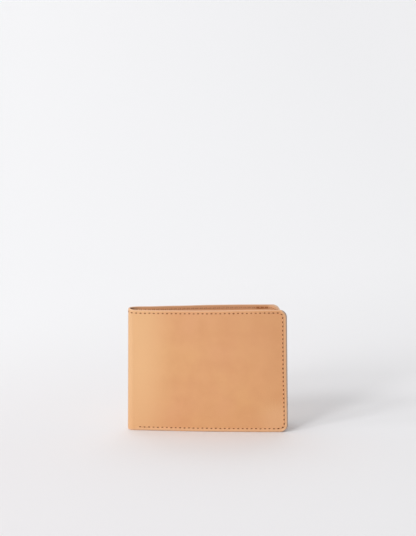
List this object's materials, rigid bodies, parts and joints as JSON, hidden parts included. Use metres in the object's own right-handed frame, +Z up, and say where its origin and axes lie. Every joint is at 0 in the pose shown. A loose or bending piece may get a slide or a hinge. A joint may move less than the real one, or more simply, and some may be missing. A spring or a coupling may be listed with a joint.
{
  "type": "bifold wallet",
  "caption": "Two-fold leather wallet with a note compartment and stepped card pockets, folded and standing on its bottom edges.",
  "frame": {"origin": "on the surface the wallet stands on, under the middle of its overall box", "axes": "+X from the fold to the free edges, +Y from the front half to the back half, +Z up"},
  "size_m": [0.1155, 0.0304, 0.09],
  "materials": {
    "outer_leather": "smooth waxed vegetable-tanned leather, light tan, matte",
    "inner_leather": "smooth thin leather, tan, matte",
    "lining": "fine woven cotton, brown",
    "thread": "bonded sewing thread, brown"
  },
  "bodies": {
    "back_half": {"back_cover": "outer_leather", "back_cover_lining": "lining", "back_bill_divider": "inner_leather", "back_card_backing": "lining", "back_card_pocket_upper": "inner_leather", "back_card_pocket_middle": "inner_leather", "back_card_pocket_lower": "inner_leather", "back_edge_thread": "thread", "back_panel_thread": "thread"},
    "fold": {"fold_leather": "outer_leather", "fold_lining": "lining", "fold_bill_divider": "inner_leather", "fold_thread": "thread"},
    "front_half": {"front_cover": "outer_leather", "front_cover_lining": "lining", "front_bill_divider": "inner_leather", "front_card_backing": "lining", "front_card_pocket_upper": "inner_leather", "front_card_pocket_middle": "inner_leather", "front_card_pocket_lower": "inner_leather", "front_edge_thread": "thread", "front_panel_thread": "thread"}
  },
  "joints": [
    {"name": "back_fold_line", "type": "hinge", "parent": "back_half", "child": "fold", "pos_m": [-0.05624, 0.00304, 0], "axis": [0, 0, -1], "range_deg": [-2.5, 86]},
    {"name": "front_fold_line", "type": "hinge", "parent": "fold", "child": "front_half", "pos_m": [-0.05624, -0.00304, 0], "axis": [0, 0, -1], "range_deg": [-2.5, 86]}
  ],
  "couplings": [
    {"joint": "front_fold_line", "follows": "back_fold_line", "ratio": 1}
  ]
}
